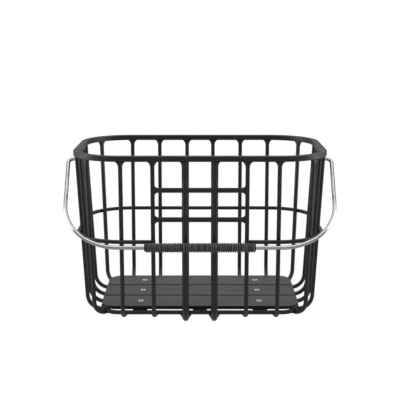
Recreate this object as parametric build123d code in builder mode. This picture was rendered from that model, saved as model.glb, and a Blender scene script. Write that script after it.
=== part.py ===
from build123d import *
from math import cos, radians, sin
import os

# A handlebar basket: an open frame of J-shaped bars between an upper rim and a base ring, a floor
# of three planks screwed to cross straps, and a bail handle that swings about two side pivots.
# Millimetres. X runs along the basket, +Y points to the front of the bicycle (away from the
# handlebar), +Z is up. The origin is on the standing plane, midway between the two keels.

# ---- driving dimensions ----
height = 258.6              # standing plane to the top of the rim
rim_length = 384.6          # outside, along X
rim_width = 252.0           # outside, along Y
rim_corner = 76.5           # outside corner radius of the rim
rim_thick = 10.0
rim_height = 8.2
rim_top_round = 1.5
rim_bottom_round = 1.2

end_lean = 0.053            # inward run of the two end walls per mm of height
wall_lean = 0.030           # inward run of the front and back walls per mm of height
corner_lean = 0.042
bar_width = 6.3
bar_depth = 6.0
bar_round = 2.4
bar_inset = 1.4             # bar's outer face behind the rim's outer face, at the top
corner_set_back = 0.2       # extra inset of the corner bars
end_set_back = 1.3          # extra inset of the end bars
wall_bend = (6.0, 30.0)     # underside of the foot and outer radius of the J bend: front and back
end_bend = (5.5, 26.0)      # the same at the two ends
corner_bend = (7.0, 24.0)   # the same at the corners
foot_tail = 5.2             # a foot runs this far inside the base ring
head_width = 22.0           # flared head, where it runs into the rim
head_height = 7.5
head_over = 1.0             # heads start this far inside the rim and are cut level with its underside

back_bar_x = (69.1, 115.7)
front_bar_x = (22.0, 68.5, 114.7)
end_bar_y = (19.3, 58.0)
back_corner_turn = 1.0      # degrees by which the back corner bars stand nearer to the ends
front_corner_turn = 1.5     # degrees by which the front corner bars stand nearer to the front

post_x = 21.6               # the two mount posts of the back wall
post_width = 10.0
post_face = 4.2             # flat outer face between the two bevels
post_bevel = 3.4            # depth of the bevels
post_depth = 8.0
post_round = 0.7
post_inset = 0.6
post_head = 4.2             # flare of the post's head, on its outer side only
post_head_depth = 5.2
post_head_run = 27.0
keel_block_width = 9.0      # block on a keel's front end, against a front bar's foot
keel_block_sink = 1.0

ring_z = 9.7                # underside of the base ring, let into the bars' feet
ring_height = 5.8
ring_thick = 4.6
ring_round = 0.8
ring_half_length = 151.1
ring_half_width = 92.0
ring_corner = 28.0
saddle_width = 9.6          # gusset between a bar's foot and the ring
saddle_tip = 3.2            # width of the gusset at its lowest point
saddle_lift = 0.5           # lowest point above the underside of the foot
post_saddle_width = 16.4
post_saddle_lift = 0.8
saddle_front = 2.5
saddle_length = 5.5
saddle_rise = 5.9

mid_rail_z = 131.5
mid_rail_height = 5.3
mid_rail_thick = 6.2
mid_rail_round = 1.4
mid_rail_past_bar = 0.6     # its ends run this far past the bars beside the grid
mid_rail_cut_depth = 40.0   # deep enough to clear the back wall's run of the rail
crossbar_z = (164.0, 208.0)
crossbar_height = 7.0
crossbar_depth = 4.0
crossbar_flare = 3.3
crossbar_flare_run = 4.8
crossbar_round = 0.9
crossbar_cope = 1.2         # the ends run this far into the bars and are cut to fit them

floor_length = 305.0
floor_width = 171.0
floor_corner = 24.0
floor_bottom = 16.1
plank_thick = 5.5
plank_gap = 4.0
plank_round = 0.5
plank_count = 3
strap_x = (-92.1, 0.0, 92.1)
strap_width = 21.5
strap_lift = 0.2            # underside above the ring's underside
strap_end_inset = 0.8
strap_clearance = 0.3       # to the ring's inner face
screw_head_radius = 4.3
screw_shank_radius = 2.0
screw_socket_radius = 2.0
screw_socket_depth = 1.4

pivot_drop = 22.6           # pivot axis below the top of the rim
lug_radius = 8.5
lug_thick = 4.6
lug_inset = 0.2             # lug's outer face behind the bars' outer faces
bush_outer_radius = 4.5
bush_flange_radius = 6.5
bush_flange_thick = 1.2
running_clearance = 0.05
rod_radius = 3.0
arm_x = 207.0               # centre line of the bail's arms, level with the pivots
arm_low_x = 201.0           # the same, level with the grip's axis
bail_length = 173.0         # pivot axis to grip axis
bail_top_bend = 8.0
bail_corner_bend = 84.0
bail_rest_angle = 39.9      # below the horizontal, folded down onto the mid rail
grip_length = 163.0
grip_core_radius = 5.4
grip_radius = 6.95
cap_radius = 6.0
cap_length = 5.5
cap_gap = 0.3
cap_end_wall = 2.0
cap_round = 2.0
aligned = 0.97              # cosine from which an edge counts as parallel to a direction

# ---- worked-out places ----
rim_underside = height - rim_height
pivot_z = height - pivot_drop
half_length = rim_length / 2
half_width = rim_width / 2
corner_x = half_length - rim_corner
corner_y = half_width - rim_corner
end_reach = half_length - end_set_back
corner_bar_reach = rim_corner - corner_set_back
keel_end = ring_half_width - ring_thick - foot_tail
up = Vector(0, 0, 1)


def save(builder, name):
    builder.part.label = name
    export_step(builder.part, f"parts/{name}.step")


def side_plane(x, y, heading):
    """Plane of a bar's side outline: local x runs outwards at the heading, local y upwards."""
    outward = Vector(cos(radians(heading)), sin(radians(heading)), 0)
    return Plane(origin=(x, y, 0), x_dir=outward, z_dir=outward.cross(up))


def concave(start, end, corner):
    """Arc from start to end that bulges a third of the way towards the corner."""
    middle = tuple((s + e + c) / 3 for s, e, c in zip(start, end, corner))
    return ThreePointArc(start, middle, end)


def flared_head(half, right, left, length):
    """Front face of a bar of that length: it widens to right and left under the rim."""
    neck = -head_over - head_height
    for edge, s in ((right, 1), (left, -1)):
        Line((s * half, -length), (s * half, neck))
        if edge > half:
            concave((s * half, neck), (s * edge, 0), (s * half, 0))
        else:
            Line((s * half, neck), (s * half, 0))
    Line((-half, -length), (half, -length))
    Line((-left, 0), (right, 0))


def saddle_face(half, half_saddle, half_tip, bottom):
    """Gusset outline across a bar: widest at the ring's underside, narrow at the tip."""
    top = ring_z + saddle_rise
    concave((half, top), (half_saddle, ring_z), (half, ring_z))
    Line((half_saddle, ring_z), (half_tip, bottom))
    Line((half_tip, bottom), (-half_tip, bottom))
    Line((-half_tip, bottom), (-half_saddle, ring_z))
    concave((-half_saddle, ring_z), (-half, top), (-half, ring_z))
    Line((-half, top), (half, top))


# ---- rim ----
with BuildPart() as rim:
    with BuildSketch(Plane.XY.offset(rim_underside)):
        RectangleRounded(rim_length, rim_width, rim_corner)
        RectangleRounded(
            rim_length - 2 * rim_thick,
            rim_width - 2 * rim_thick,
            rim_corner - rim_thick,
            mode=Mode.SUBTRACT,
        )
    extrude(amount=rim_height)
    fillet(rim.edges().group_by(Axis.Z)[-1], rim_top_round)
    fillet(rim.edges().group_by(Axis.Z)[0], rim_bottom_round)
save(rim, "rim")

# ---- base ring, in square seats cut into the bars' feet ----
with BuildPart() as ring_seat:
    with BuildSketch(Plane.XY.offset(ring_z)):
        RectangleRounded(2 * ring_half_length, 2 * ring_half_width, ring_corner)
        RectangleRounded(
            2 * (ring_half_length - ring_thick),
            2 * (ring_half_width - ring_thick),
            ring_corner - ring_thick,
            mode=Mode.SUBTRACT,
        )
    extrude(amount=ring_height)
with BuildPart() as base_ring:
    add(ring_seat.part)
    fillet(base_ring.edges().group_by(Axis.Z)[-1], ring_round)
    fillet(base_ring.edges().group_by(Axis.Z)[0], ring_round)
save(base_ring, "base_ring")


# ---- uprights ----
def upright(x, y, heading, reach, lean, bend, ring_reach):
    """A bar from the rim down the wall, round its bend and under the ring's outer face."""
    bottom, bend_outer = bend
    side = side_plane(x, y, heading)
    tangent = side.z_dir
    top = reach - bar_inset - bar_depth / 2
    foot_z = bottom + bar_depth / 2
    corner = top - lean * (rim_underside - foot_z)
    foot_end = ring_reach - ring_thick - foot_tail
    route = FilletPolyline(
        side.from_local_coords((top + lean * head_over, rim_underside + head_over, 0)),
        side.from_local_coords((corner, foot_z, 0)),
        side.from_local_coords((foot_end, foot_z, 0)),
        radius=bend_outer - bar_depth / 2,
    )
    straight, arc, foot = route.edges()
    down = straight % 0
    face = Plane(origin=straight @ 0, x_dir=tangent, z_dir=tangent.cross(down * -1))
    with BuildPart() as bar:
        with BuildSketch(face):
            with BuildLine():
                flared_head(bar_width / 2, head_width / 2, head_width / 2, straight.length)
            make_face()
        extrude(amount=bar_depth / 2, both=True)
        runs_down = bar.edges().filter_by(
            lambda e: max(abs((e % 0.5).dot(tangent)), abs((e % 0.5).dot(face.z_dir))) < aligned
        )
        fillet(runs_down, bar_round)
        with BuildSketch(Plane(origin=arc @ 0, x_dir=tangent, z_dir=arc % 0)):
            RectangleRounded(bar_width, bar_depth, bar_round)
        sweep(path=Wire([arc, foot]))
        saddle = side.from_local_coords((ring_reach + saddle_front, 0, 0))
        with BuildSketch(Plane(origin=saddle, x_dir=tangent, z_dir=tangent.cross(up))):
            with BuildLine():
                saddle_face(bar_width / 2, saddle_width / 2, saddle_tip / 2, bottom + saddle_lift)
            make_face()
        extrude(amount=saddle_length)
        split(bisect_by=Plane.XY.offset(rim_underside), keep=Keep.BOTTOM)
        add(ring_seat.part, mode=Mode.SUBTRACT)
    return bar


def wall_bar(x, heading):
    return upright(x, 0, heading, half_width, wall_lean, wall_bend, ring_half_width)


def end_bar(y, heading):
    return upright(0, y, heading, end_reach, end_lean, end_bend, ring_half_length)


def corner_bar(side_x, side_y, heading):
    """A bar that leans out from the centre of a rim corner; the sides are +1 or -1."""
    off_x = ring_half_length - ring_corner - corner_x
    off_y = ring_half_width - ring_corner - corner_y
    along = off_x * abs(cos(radians(heading))) + off_y * abs(sin(radians(heading)))
    ring_reach = along + (along ** 2 - off_x ** 2 - off_y ** 2 + ring_corner ** 2) ** 0.5
    place = (side_x * corner_x, side_y * corner_y)
    return upright(*place, heading, corner_bar_reach, corner_lean, corner_bend, ring_reach)


uprights = {}
for number, x in enumerate([-x for x in reversed(back_bar_x)] + list(back_bar_x), 1):
    uprights[f"back_bar_{number}"] = wall_bar(x, -90)
for number, x in enumerate([-x for x in reversed(front_bar_x)] + list(front_bar_x), 1):
    uprights[f"front_bar_{number}"] = wall_bar(x, 90)
for number, y in enumerate([-y for y in reversed(end_bar_y)] + list(end_bar_y), 1):
    uprights[f"left_bar_{number}"] = end_bar(y, 180)
    uprights[f"right_bar_{number}"] = end_bar(y, 0)
uprights["corner_bar_back_left"] = corner_bar(-1, -1, 225 - back_corner_turn)
uprights["corner_bar_back_right"] = corner_bar(1, -1, 315 + back_corner_turn)
uprights["corner_bar_front_left"] = corner_bar(-1, 1, 135 - front_corner_turn)
uprights["corner_bar_front_right"] = corner_bar(1, 1, 45 + front_corner_turn)
for name, bar in uprights.items():
    save(bar, name)

# ---- crossbars of the mounting grid: one piece each, through the posts, coped on the bars ----
wall_tilt = Vector(0, -1, -wall_lean).normalized()


def back_wall_plane(z, inset):
    """Plane parallel to the back wall's outer face, inset from it, at a height."""
    y = -half_width + bar_inset + wall_lean * (rim_underside - z) + inset
    return Plane(origin=(0, y, z), x_dir=(1, 0, 0), z_dir=wall_tilt)


crossbars = {}
for name, z in zip(("crossbar_lower", "crossbar_upper"), crossbar_z):
    end = back_bar_x[0] - bar_width / 2 + crossbar_cope
    bar_side = end - crossbar_cope
    tall = crossbar_height / 2
    wide = tall + crossbar_flare
    run = bar_side - crossbar_flare_run
    with BuildPart() as crossbar:
        with BuildSketch(back_wall_plane(z, bar_depth / 2)):
            with BuildLine():
                for s in (1, -1):
                    Line((-run, s * tall), (run, s * tall))
                    concave((run, s * tall), (bar_side, s * wide), (bar_side, s * tall))
                    Line((bar_side, s * wide), (end, s * wide))
                    concave((-run, s * tall), (-bar_side, s * wide), (-bar_side, s * tall))
                    Line((-bar_side, s * wide), (-end, s * wide))
                Line((end, -wide), (end, wide))
                Line((-end, -wide), (-end, wide))
            make_face()
        extrude(amount=crossbar_depth / 2, both=True)
        long_edges = crossbar.edges().filter_by(Axis.X).filter_by(lambda e: e.length > run)
        fillet(long_edges, crossbar_round)
        add(uprights["back_bar_2"].part, mode=Mode.SUBTRACT)
        add(uprights["back_bar_3"].part, mode=Mode.SUBTRACT)
    crossbars[name] = crossbar
    save(crossbar, name)


# ---- mount posts: bevelled bars that run on under the floor as keels ----
def mount_post(x, outer):
    """A post at x; outer is +1 or -1, the side that its head flares to."""
    side = side_plane(x, 0, -90)
    top = half_width - post_inset - post_depth / 2
    foot_z = post_depth / 2
    corner = top - wall_lean * (rim_underside - foot_z)
    half = post_width / 2
    with BuildPart() as post:
        with BuildLine(side) as route:
            FilletPolyline(
                (top + wall_lean * head_over, rim_underside + head_over),
                (corner, foot_z),
                (-keel_end, foot_z),
                radius=wall_bend[1] - post_depth / 2,
            )
        start, down = route.line @ 0, route.line % 0
        section = Plane(origin=start, x_dir=side.z_dir, z_dir=down)
        outwards = 1 if section.y_dir.dot(side.x_dir) > 0 else -1
        with BuildSketch(section) as profile:
            with BuildLine():
                Polyline(
                    (-half, -outwards * post_depth / 2),
                    (half, -outwards * post_depth / 2),
                    (half, outwards * (post_depth / 2 - post_bevel)),
                    (post_face / 2, outwards * post_depth / 2),
                    (-post_face / 2, outwards * post_depth / 2),
                    (-half, outwards * (post_depth / 2 - post_bevel)),
                    close=True,
                )
            make_face()
            fillet(profile.vertices(), post_round)
        sweep()
        head = Plane(origin=start, x_dir=side.z_dir, z_dir=side.z_dir.cross(down * -1))
        outer_is_right = side.z_dir.X * outer > 0
        right = half + post_head if outer_is_right else half
        left = half if outer_is_right else half + post_head
        with BuildSketch(head):
            with BuildLine():
                flared_head(half, right, left, post_head_run)
            make_face()
        extrude(amount=post_head_depth / 2, both=True)
        ring_reach = ring_half_width + saddle_front
        saddle = Plane(origin=(x, -ring_reach, 0), x_dir=(-1, 0, 0), z_dir=(0, 1, 0))
        with BuildSketch(saddle):
            with BuildLine():
                saddle_face(half, post_saddle_width / 2, post_face / 2, post_saddle_lift)
            make_face()
        extrude(amount=saddle_length)
        with BuildSketch(Plane.XY.offset(post_depth - keel_block_sink)):
            with Locations((x, keel_end - foot_tail)):
                Rectangle(keel_block_width, 2 * foot_tail)
        extrude(amount=ring_z - post_depth + keel_block_sink)
        split(bisect_by=Plane.XY.offset(rim_underside), keep=Keep.BOTTOM)
        add(ring_seat.part, mode=Mode.SUBTRACT)
        for crossbar in crossbars.values():
            add(crossbar.part, mode=Mode.SUBTRACT)
    return post


mount_post_left = mount_post(-post_x, -1)
mount_post_right = mount_post(post_x, 1)
save(mount_post_left, "mount_post_left")
save(mount_post_right, "mount_post_right")

# ---- mid rail: a hoop outside the bars, open across the mounting grid ----
rail_drop = rim_underside - mid_rail_z - mid_rail_height / 2
rail_half_length = end_reach - bar_inset - end_lean * rail_drop
rail_half_width = half_width - bar_inset - wall_lean * rail_drop
rail_corner_reach = corner_bar_reach - bar_inset - corner_lean * rail_drop
diagonal = (rail_half_length - corner_x + rail_half_width - corner_y) * 2 ** -0.5
rail_corner = (diagonal - rail_corner_reach) / (2 ** 0.5 - 1)
rail_end_x = back_bar_x[0] - bar_width / 2 - mid_rail_past_bar
with BuildPart() as mid_rail:
    with BuildSketch(Plane.XY.offset(mid_rail_z - mid_rail_height / 2)):
        RectangleRounded(
            2 * (rail_half_length + mid_rail_thick),
            2 * (rail_half_width + mid_rail_thick),
            rail_corner + mid_rail_thick,
        )
        RectangleRounded(
            2 * rail_half_length, 2 * rail_half_width, rail_corner, mode=Mode.SUBTRACT
        )
        with Locations((0, -rail_half_width)):
            Rectangle(2 * rail_end_x, mid_rail_cut_depth, mode=Mode.SUBTRACT)
    extrude(amount=mid_rail_height)
    fillet(mid_rail.edges().group_by(Axis.Z)[-1], mid_rail_round)
    fillet(mid_rail.edges().group_by(Axis.Z)[0], mid_rail_round)
save(mid_rail, "mid_rail")

# ---- floor ----
floor_top = floor_bottom + plank_thick
plank_width = (floor_width - (plank_count - 1) * plank_gap) / plank_count
plank_y = [(i - (plank_count - 1) / 2) * (plank_width + plank_gap) for i in range(plank_count)]
for name, y in zip(("plank_back", "plank_middle", "plank_front"), plank_y):
    with BuildPart() as plank:
        with BuildSketch(Plane.XY.offset(floor_bottom)):
            RectangleRounded(floor_length, floor_width, floor_corner)
            with Locations((0, y)):
                Rectangle(floor_length, plank_width, mode=Mode.INTERSECT)
        extrude(amount=plank_thick)
        fillet(plank.edges().group_by(Axis.Z)[-1], plank_round)
        with Locations((strap_x[0], y, floor_top), (strap_x[2], y, floor_top)):
            CounterSinkHole(screw_shank_radius, screw_head_radius)
    save(plank, name)

strap_bottom = ring_z + strap_lift
ring_top = ring_z + ring_height
strap_end = ring_half_width - strap_end_inset
strap_shoulder = ring_half_width - ring_thick - strap_clearance
for name, x in zip(("floor_strap_left", "floor_strap_centre", "floor_strap_right"), strap_x):
    with BuildPart() as strap:
        with BuildSketch(Plane.YZ.offset(x - strap_width / 2)):
            with BuildLine():
                Polyline(
                    (-strap_end, floor_bottom),
                    (-strap_end, ring_top),
                    (-strap_shoulder, ring_top),
                    (-strap_shoulder, strap_bottom),
                    (strap_shoulder, strap_bottom),
                    (strap_shoulder, ring_top),
                    (strap_end, ring_top),
                    (strap_end, floor_bottom),
                    close=True,
                )
            make_face()
        extrude(amount=strap_width)
        if x != 0:
            with Locations(*[(x, y, floor_bottom) for y in plank_y]):
                Hole(screw_shank_radius)
    save(strap, name)

head_drop = screw_head_radius - screw_shank_radius
with BuildPart() as floor_screws:
    for x in (strap_x[0], strap_x[2]):
        for y in plank_y:
            with BuildSketch(Plane(origin=(x, y, 0), x_dir=(1, 0, 0), z_dir=(0, -1, 0))):
                with BuildLine():
                    Polyline(
                        (0, strap_bottom),
                        (screw_shank_radius, strap_bottom),
                        (screw_shank_radius, floor_top - head_drop),
                        (screw_head_radius, floor_top),
                        (0, floor_top),
                        close=True,
                    )
                make_face()
            revolve(axis=Axis((x, y, 0), (0, 0, 1)))
            with BuildSketch(Plane.XY.offset(floor_top)):
                with Locations((x, y)):
                    RegularPolygon(screw_socket_radius, 6)
            extrude(amount=-screw_socket_depth, mode=Mode.SUBTRACT)
save(floor_screws, "floor_screws")

# ---- pivots ----
lug_outer = end_reach - bar_inset - lug_inset
lug_inner = lug_outer - lug_thick
for name, s in (("left", -1), ("right", 1)):
    outward = Plane(origin=(s * lug_inner, 0, 0), x_dir=(0, s, 0), z_dir=(s, 0, 0))
    with BuildPart() as lug:
        with BuildSketch(outward):
            with Locations((0, pivot_z)):
                Circle(lug_radius)
            with Locations((0, (pivot_z + rim_underside) / 2)):
                Rectangle(2 * lug_radius, rim_underside - pivot_z)
            with Locations((0, pivot_z)):
                Circle(bush_outer_radius, mode=Mode.SUBTRACT)
        extrude(amount=lug_thick)
    save(lug, f"pivot_lug_{name}")

    with BuildPart() as bush:
        with BuildSketch(outward):
            with Locations((0, pivot_z)):
                Circle(bush_outer_radius)
        extrude(amount=lug_thick + bush_flange_thick)
        with BuildSketch(outward.offset(lug_thick)):
            with Locations((0, pivot_z)):
                Circle(bush_flange_radius)
        extrude(amount=bush_flange_thick)
        with BuildSketch(outward):
            with Locations((0, pivot_z)):
                Circle(rod_radius + running_clearance)
        extrude(amount=lug_thick + bush_flange_thick, mode=Mode.SUBTRACT)
    save(bush, f"pivot_bush_{name}")

# ---- bail: one bent rod, a padded grip and a cap on each end ----
rest_sin = sin(radians(bail_rest_angle))
rest_cos = cos(radians(bail_rest_angle))
bail_plane = Plane(origin=(0, 0, pivot_z), x_dir=(1, 0, 0), z_dir=(0, rest_sin, -rest_cos))
rod_end = lug_inner - cap_gap - cap_length + cap_end_wall
with BuildPart() as bail:
    with BuildLine(bail_plane) as bail_route:
        FilletPolyline(
            (-rod_end, 0),
            (-arm_x, 0),
            (-arm_low_x, bail_length),
            (arm_low_x, bail_length),
            (arm_x, 0),
            (rod_end, 0),
            radius=[bail_top_bend, bail_corner_bend, bail_corner_bend, bail_top_bend],
        )
    with BuildSketch(Plane(origin=bail_route.line @ 0, z_dir=bail_route.line % 0)):
        Circle(rod_radius)
    sweep()
save(bail, "bail")

grip_centre = bail_plane.from_local_coords((0, bail_length, 0))
grip_start = Plane(origin=(-grip_length / 2, grip_centre.Y, grip_centre.Z), z_dir=(1, 0, 0))
with BuildPart() as grip_core:
    with BuildSketch(grip_start):
        Circle(grip_core_radius)
        Circle(rod_radius, mode=Mode.SUBTRACT)
    extrude(amount=grip_length)
save(grip_core, "grip_core")

with BuildPart() as grip_wrap:
    with BuildSketch(grip_start):
        Circle(grip_radius)
        Circle(grip_core_radius, mode=Mode.SUBTRACT)
    extrude(amount=grip_length)
save(grip_wrap, "grip_wrap")

for name, s in (("left", -1), ("right", 1)):
    inward = Plane(origin=(s * (lug_inner - cap_gap), 0, pivot_z), z_dir=(-s, 0, 0))
    with BuildPart() as cap:
        with BuildSketch(inward):
            Circle(cap_radius)
        extrude(amount=cap_length)
        fillet(cap.faces().sort_by(Axis.X)[0 if s > 0 else -1].edges(), cap_round)
        with BuildSketch(inward):
            Circle(rod_radius)
        extrude(amount=cap_length - cap_end_wall, mode=Mode.SUBTRACT)
    save(cap, f"rod_cap_{name}")
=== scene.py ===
from math import cos, pi, radians, sin

import bmesh
import bpy
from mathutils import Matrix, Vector


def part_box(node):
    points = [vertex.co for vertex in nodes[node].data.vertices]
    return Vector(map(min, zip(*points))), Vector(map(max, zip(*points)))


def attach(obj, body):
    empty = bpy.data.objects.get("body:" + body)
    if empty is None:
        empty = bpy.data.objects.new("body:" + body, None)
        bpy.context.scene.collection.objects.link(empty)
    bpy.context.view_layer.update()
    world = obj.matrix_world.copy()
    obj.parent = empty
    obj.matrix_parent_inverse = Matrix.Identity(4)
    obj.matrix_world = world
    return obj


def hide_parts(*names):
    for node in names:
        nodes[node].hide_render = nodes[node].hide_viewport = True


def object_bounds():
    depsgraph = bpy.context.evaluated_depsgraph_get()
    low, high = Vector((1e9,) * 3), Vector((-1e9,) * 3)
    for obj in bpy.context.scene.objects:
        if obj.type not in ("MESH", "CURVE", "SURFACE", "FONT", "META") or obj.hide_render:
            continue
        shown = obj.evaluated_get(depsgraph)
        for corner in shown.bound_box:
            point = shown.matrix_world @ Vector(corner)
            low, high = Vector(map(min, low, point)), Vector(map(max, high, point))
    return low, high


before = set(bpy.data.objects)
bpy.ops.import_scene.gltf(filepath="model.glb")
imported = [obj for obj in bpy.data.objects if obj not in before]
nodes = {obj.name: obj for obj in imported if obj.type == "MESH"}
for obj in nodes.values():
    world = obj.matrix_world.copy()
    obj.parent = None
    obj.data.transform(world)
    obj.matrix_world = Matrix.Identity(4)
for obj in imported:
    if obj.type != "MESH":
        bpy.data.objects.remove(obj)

cad_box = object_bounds()
rim_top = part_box("rim")[1].z
wrap_low, wrap_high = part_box("grip_wrap")
floor_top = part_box("plank_middle")[1].z

# ---- camera: behind the basket and above its rim, pitched a little downwards ----
CAMERA_BACK = 1.451         # from the basket's middle
CAMERA_ABOVE_RIM = 0.1983
CAMERA_PITCH = 11.19        # degrees
CAMERA_LENS = 83.7
CAMERA_SENSOR = 36.0


def make_camera():
    data = bpy.data.cameras.new("camera")
    data.lens = CAMERA_LENS
    data.sensor_width = CAMERA_SENSOR
    camera = bpy.data.objects.new("camera", data)
    camera.location = (0, -CAMERA_BACK, rim_top + CAMERA_ABOVE_RIM)
    camera.rotation_euler = (radians(90 - CAMERA_PITCH), 0, 0)
    bpy.context.scene.collection.objects.link(camera)
    bpy.context.scene.camera = camera


# ---- stage: white to the eye, lit by softboxes over a grey bounce, as for a cut-out ----
BACKDROP = 1.0              # what the camera sees behind and under the basket
BOUNCE = 0.50               # what the floor and the room throw back on the basket
ROOM = 0.13
FLOOR_REACH = 6.0
FLOOR_GAP = 0.0002          # the floor lies this far under the keels, so no two faces share a plane
SOFTBOXES = {               # place, size and power
    "overhead": ((0, -0.3, 2.4), (4.4, 4.0), 75),
    "lit_backdrop": ((0, 2.8, 1.0), (5.0, 2.4), 16),
    "left_box": ((-1.9, 0.1, 0.6), (1.0, 1.2), 22),
    "right_box": ((1.9, 0.1, 0.6), (1.0, 1.2), 22),
}


def seen_and_felt(tree, seen, felt):
    """Joins two shaders: one that the camera sees, one that lights the object."""
    path = tree.nodes.new("ShaderNodeLightPath")
    mix = tree.nodes.new("ShaderNodeMixShader")
    tree.links.new(path.outputs["Is Camera Ray"], mix.inputs[0])
    tree.links.new(felt.outputs[0], mix.inputs[1])
    tree.links.new(seen.outputs[0], mix.inputs[2])
    return mix


def glow(tree, kind, strength):
    made = tree.nodes.new(kind)
    made.inputs["Color"].default_value = (1, 1, 1, 1)
    made.inputs["Strength"].default_value = strength
    return made


def area_light(name, place, target, size, power):
    data = bpy.data.lights.new(name, "AREA")
    data.shape = "RECTANGLE"
    data.size, data.size_y = size
    data.energy = power
    light = bpy.data.objects.new(name, data)
    light.location = place
    aim = Vector(target) - Vector(place)
    light.rotation_euler = aim.to_track_quat("-Z", "Y").to_euler()
    light.visible_camera = False
    bpy.context.scene.collection.objects.link(light)


def make_stage():
    world = bpy.data.worlds.new("studio")
    world.use_nodes = True
    tree = world.node_tree
    tree.nodes.clear()
    seen = glow(tree, "ShaderNodeBackground", BACKDROP)
    felt = glow(tree, "ShaderNodeBackground", ROOM)
    output = tree.nodes.new("ShaderNodeOutputWorld")
    tree.links.new(seen_and_felt(tree, seen, felt).outputs[0], output.inputs["Surface"])
    bpy.context.scene.world = world
    bpy.context.scene.view_settings.view_transform = "Standard"

    mesh = bpy.data.meshes.new("floor")
    r = FLOOR_REACH
    corners = [(-r, -r, 0), (r, -r, 0), (r, r, 0), (-r, r, 0)]
    mesh.from_pydata(corners, [], [(0, 1, 2, 3)])
    floor = bpy.data.objects.new("floor", mesh)
    floor.location.z = cad_box[0].z - FLOOR_GAP
    bpy.context.scene.collection.objects.link(floor)
    floor_paint = bpy.data.materials.new("floor_paint")
    floor_paint.use_nodes = True
    tree = floor_paint.node_tree
    tree.nodes.clear()
    seen = glow(tree, "ShaderNodeEmission", BACKDROP)
    felt = glow(tree, "ShaderNodeEmission", BOUNCE)
    output = tree.nodes.new("ShaderNodeOutputMaterial")
    tree.links.new(seen_and_felt(tree, seen, felt).outputs[0], output.inputs["Surface"])
    mesh.materials.append(floor_paint)

    middle = (0, 0, rim_top / 2)
    for name, (place, size, power) in SOFTBOXES.items():
        area_light(name, place, middle, size, power)


# ---- materials ----
NOISE_LOW = 0.3             # nearly all of a noise texture lies between these two values
NOISE_HIGH = 0.7


class Shader:
    """A new material with its Principled shader and short names for what is linked to it."""

    def __init__(self, name, **values):
        self.material = bpy.data.materials.new(name)
        self.material.use_nodes = True
        self.tree = self.material.node_tree
        self.bsdf = self.tree.nodes["Principled BSDF"]
        for socket, value in values.items():
            self.bsdf.inputs[socket.replace("_", " ")].default_value = value

    def node(self, kind, **inputs):
        made = self.tree.nodes.new(kind)
        for socket, value in inputs.items():
            made.inputs[socket.replace("_", " ")].default_value = value
        return made

    def link(self, output, socket):
        self.tree.links.new(output, socket)

    def coordinates(self, scale=(1, 1, 1), kind="Object"):
        source = self.node("ShaderNodeTexCoord")
        mapping = self.node("ShaderNodeMapping", Scale=scale)
        self.link(source.outputs[kind], mapping.inputs["Vector"])
        return mapping.outputs["Vector"]

    def noise(self, vector, scale, detail=2.0, rough=0.5):
        made = self.node("ShaderNodeTexNoise", Scale=scale, Detail=detail, Roughness=rough)
        self.link(vector, made.inputs["Vector"])
        return made.outputs["Fac"]

    def ramp(self, factor, low, high, start=NOISE_LOW, end=NOISE_HIGH):
        made = self.node("ShaderNodeValToRGB")
        made.color_ramp.elements[0].position = start
        made.color_ramp.elements[0].color = (*low, 1)
        made.color_ramp.elements[1].position = end
        made.color_ramp.elements[1].color = (*high, 1)
        self.link(factor, made.inputs["Fac"])
        return made.outputs["Color"]

    def spread(self, factor, low, high):
        made = self.node("ShaderNodeMapRange", From_Min=NOISE_LOW, From_Max=NOISE_HIGH)
        made.inputs["To Min"].default_value = low
        made.inputs["To Max"].default_value = high
        self.link(factor, made.inputs["Value"])
        return made.outputs["Result"]

    def bump(self, height, depth, strength=1.0, under=None):
        made = self.node("ShaderNodeBump", Strength=strength, Distance=depth)
        self.link(height, made.inputs["Height"])
        if under is not None:
            self.link(under, made.inputs["Normal"])
        return made.outputs["Normal"]

    def times(self, first, second, share=1.0):
        """One colour multiplied by another, in part or in full."""
        made = self.node("ShaderNodeMix")
        made.data_type = "RGBA"
        made.blend_type = "MULTIPLY"
        made.inputs[0].default_value = share
        self.link(first, made.inputs[6])
        self.link(second, made.inputs[7])
        return made.outputs[2]

    def upwards(self, kind):
        """The Z part of an object's own coordinates or of its own normals."""
        source = self.node("ShaderNodeTexCoord")
        parts = self.node("ShaderNodeSeparateXYZ")
        self.link(source.outputs[kind], parts.inputs["Vector"])
        return parts.outputs["Z"]

    def set(self, socket, output):
        self.link(output, self.bsdf.inputs[socket])


def powder_coat():
    """Near-black satin powder coat: a fine orange peel with faint mottling."""
    s = Shader("powder_coat", Specular_IOR_Level=0.45)
    place = s.coordinates()
    mottle = s.noise(place, 55, detail=3)
    peel = s.noise(place, 1500, detail=2)
    s.set("Base Color", s.ramp(mottle, (0.0125, 0.0125, 0.0128), (0.0195, 0.0195, 0.0198)))
    s.set("Roughness", s.spread(s.noise(place, 240, detail=2), 0.38, 0.48))
    s.set("Normal", s.bump(peel, 0.00012, 0.5))
    return s.material


def stainless():
    """Satin stainless steel with drawing lines too fine to see one by one."""
    s = Shader("satin_stainless", Metallic=1.0)
    place = s.coordinates()
    s.set("Base Color", s.ramp(s.noise(place, 90, detail=4), (0.47, 0.47, 0.467), (0.56, 0.56, 0.552)))
    s.set("Roughness", s.spread(s.noise(place, 900, detail=3), 0.14, 0.21))
    s.set("Normal", s.bump(s.noise(place, 2600, detail=2), 0.00002, 0.4))
    return s.material


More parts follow.
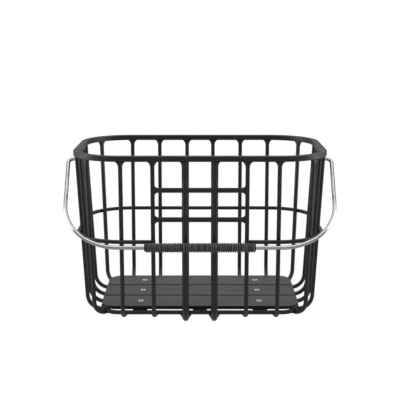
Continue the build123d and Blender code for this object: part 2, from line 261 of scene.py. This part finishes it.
def screw_steel():
    """Turned stainless steel, bright on the heads, with painted shade down in the sockets."""
    s = Shader("screw_stainless", Metallic=1.0)
    place = s.coordinates()
    turned = s.ramp(s.noise(place, 700, detail=3), (0.74, 0.74, 0.73), (0.92, 0.92, 0.90))
    # painted shade: the colour goes nearly black below the floor's top, down in the screw sockets
    depth = s.node("ShaderNodeMapRange", From_Min=floor_top - 0.0008, From_Max=floor_top - 0.0001)
    s.link(s.upwards("Object"), depth.inputs["Value"])
    painted_socket_shade = s.ramp(depth.outputs["Result"], (0.03, 0.03, 0.028), (1, 1, 1), 0.0, 1.0)
    s.set("Base Color", s.times(turned, painted_socket_shade))
    s.set("Roughness", s.spread(s.noise(place, 900, detail=3), 0.55, 0.66))
    s.set("Normal", s.bump(s.noise(place, 1900, detail=2), 0.00004, 0.5))
    return s.material


def floor_board():
    """Dark grey composite board, drawn out along X into fine streaks, with painted shade on every face
    that turns away from up, so the gaps between boards read dark.
    """
    s = Shader("floor_board", Specular_IOR_Level=0.3)
    fine = s.noise(s.coordinates((9, 620, 620)), 1.0, detail=4, rough=0.6)
    broad = s.noise(s.coordinates((2.5, 70, 70)), 1.0, detail=3)
    streaks = s.ramp(fine, (0.048, 0.048, 0.047), (0.098, 0.098, 0.096), 0.3, 0.72)
    bands = s.ramp(broad, (0.92, 0.92, 0.92), (1.06, 1.06, 1.05), 0.35, 0.65)
    # painted shade: faces whose normal turns away from up are darkened, standing in for the shade in
    # the gaps
    painted_side_shade = s.ramp(s.upwards("Normal"), (0.16, 0.16, 0.16), (1, 1, 1), 0.55, 0.9)
    s.set("Base Color", s.times(s.times(streaks, bands), painted_side_shade))
    s.set("Roughness", s.spread(fine, 0.5, 0.62))
    s.set("Normal", s.bump(fine, 0.00025, 0.6))
    return s.material


def moulded_plastic():
    s = Shader("moulded_plastic", Roughness=0.5)
    place = s.coordinates()
    s.set("Base Color", s.ramp(s.noise(place, 120), (0.016, 0.016, 0.016), (0.026, 0.026, 0.026)))
    s.set("Normal", s.bump(s.noise(place, 2200, detail=3), 0.00005, 0.5))
    return s.material


def foam():
    s = Shader("foam", Roughness=0.9)
    place = s.coordinates()
    s.set("Base Color", s.ramp(s.noise(place, 700), (0.008, 0.008, 0.008), (0.018, 0.018, 0.016)))
    s.set("Normal", s.bump(s.noise(place, 1800, detail=3), 0.0002, 0.8))
    return s.material


def grip_cord():
    """Olive-black flat braid: strands cross both ways over it, and the tint changes between turns."""
    s = Shader("grip_cord", Roughness=0.8, Sheen_Weight=0.25, Sheen_Roughness=0.5)
    place = s.coordinates(kind="UV")
    waves = []
    for turns in (1, -1):
        skew = s.node("ShaderNodeMapping", Rotation=(0, 0, turns * radians(38)))
        s.link(place, skew.inputs["Vector"])
        wave = s.node("ShaderNodeTexWave", Scale=1.4, Distortion=0.6, Detail=1.0)
        s.link(skew.outputs["Vector"], wave.inputs["Vector"])
        waves.append(wave.outputs["Fac"])
    braid = s.node("ShaderNodeMath")
    braid.operation = "MAXIMUM"
    s.link(waves[0], braid.inputs[0])
    s.link(waves[1], braid.inputs[1])
    turn_tint = s.noise(s.coordinates((760, 6, 6)), 1.0, detail=1)
    olive = s.ramp(turn_tint, (0.015, 0.016, 0.012), (0.165, 0.167, 0.141), 0.42, 0.62)
    s.set("Base Color", s.times(olive, braid.outputs["Value"], 0.5))
    s.set("Normal", s.bump(braid.outputs["Value"], 0.00025, 0.8))
    return s.material


def paint(node, material):
    """Gives a CAD node that stays in view its material."""
    slots = nodes[node].material_slots
    if not slots:
        nodes[node].data.materials.append(material)
    for one in slots:
        one.material = material


# ---- grip winding ----
CORD_WIDTH = 0.0027
CORD_THICK = 0.0020
CORD_PROUD = 0.0002         # how far a turn that isn't sunk rises over the plain sleeve
CORD_PITCH = 0.00338
CORD_SIDES = 16
TURN_STEPS = 36
SINK_LEAST = 0.00005        # how deep a turn is pulled in, and how much more where it is tightest
SINK_MORE = 0.00010
SINK_WAVES = (1.9, 0.37)    # radians per turn of the two waves that the sinking follows
SINK_PHASE = 1.0
DRIFT = 0.00022             # how far a turn strays along the grip
DRIFT_WAVE = 0.71

axis = (wrap_low + wrap_high) / 2
wrap_radius = (wrap_high.z - wrap_low.z) / 2


def flat_cord(name, path):
    """A closed-ended flat cord along a path round the grip; its UVs count cord widths."""
    mesh = bmesh.new()
    uv = mesh.loops.layers.uv.new("UVMap")
    rings = []
    lengths = [0.0]
    for a, b in zip(path, path[1:]):
        lengths.append(lengths[-1] + (b - a).length)
    for i, point in enumerate(path):
        ahead = (path[min(i + 1, len(path) - 1)] - path[max(i - 1, 0)]).normalized()
        out = Vector((0, point.y - axis.y, point.z - axis.z)).normalized()
        out = (out - ahead * out.dot(ahead)).normalized()
        side = ahead.cross(out)
        ring = []
        for k in range(CORD_SIDES):
            angle = 2 * pi * k / CORD_SIDES
            high = out * cos(angle) * CORD_THICK / 2
            wide = side * sin(angle) * CORD_WIDTH / 2
            ring.append(mesh.verts.new(point + high + wide))
        rings.append(ring)
    for i, (first, second) in enumerate(zip(rings, rings[1:])):
        for k in range(CORD_SIDES):
            n = (k + 1) % CORD_SIDES
            face = mesh.faces.new((first[k], first[n], second[n], second[k]))
            face.smooth = True
            corners = ((i, k), (i, k + 1), (i + 1, k + 1), (i + 1, k))
            for loop, (along, across) in zip(face.loops, corners):
                loop[uv].uv = (lengths[along] / CORD_WIDTH, across / CORD_SIDES)
    mesh.faces.new(list(reversed(rings[0])))
    mesh.faces.new(rings[-1])
    bmesh.ops.recalc_face_normals(mesh, faces=mesh.faces)
    data = bpy.data.meshes.new(name)
    mesh.to_mesh(data)
    mesh.free()
    made = bpy.data.objects.new(name, data)
    bpy.context.scene.collection.objects.link(made)
    return made


def make_winding(material):
    """One flat cord wound in close turns over the foam core, as uneven as a hand leaves it."""
    length = wrap_high.x - wrap_low.x - CORD_WIDTH
    turns = round(length / CORD_PITCH)
    steps = turns * TURN_STEPS
    path = []
    for i in range(steps + 1):
        turn = i / TURN_STEPS
        angle = 2 * pi * turn
        tightness = abs(sin(turn * SINK_WAVES[0]) * sin(turn * SINK_WAVES[1] + SINK_PHASE))
        sunk = SINK_LEAST + SINK_MORE * tightness
        drift = DRIFT * sin(turn * DRIFT_WAVE) * cos(angle) * min(1, turn, turns - turn)
        reach = wrap_radius - CORD_THICK / 2 + CORD_PROUD - sunk
        x = wrap_low.x + CORD_WIDTH / 2 + i / steps * length + drift
        path.append(Vector((x, axis.y + reach * cos(angle), axis.z + reach * sin(angle))))
    piece = flat_cord("grip_winding", path)
    piece.data.materials.append(material)
    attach(piece, "handle")
    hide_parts("grip_wrap")


make_camera()
make_stage()
coat = powder_coat()
board = floor_board()
plastic = moulded_plastic()
for name in nodes:
    if name == "bail":
        paint(name, stainless())
    elif name == "floor_screws":
        paint(name, screw_steel())
    elif name.startswith("plank"):
        paint(name, board)
    elif name.startswith(("pivot_bush", "rod_cap")):
        paint(name, plastic)
    elif name == "grip_core":
        paint(name, foam())
    else:
        paint(name, coat)
make_winding(grip_cord())
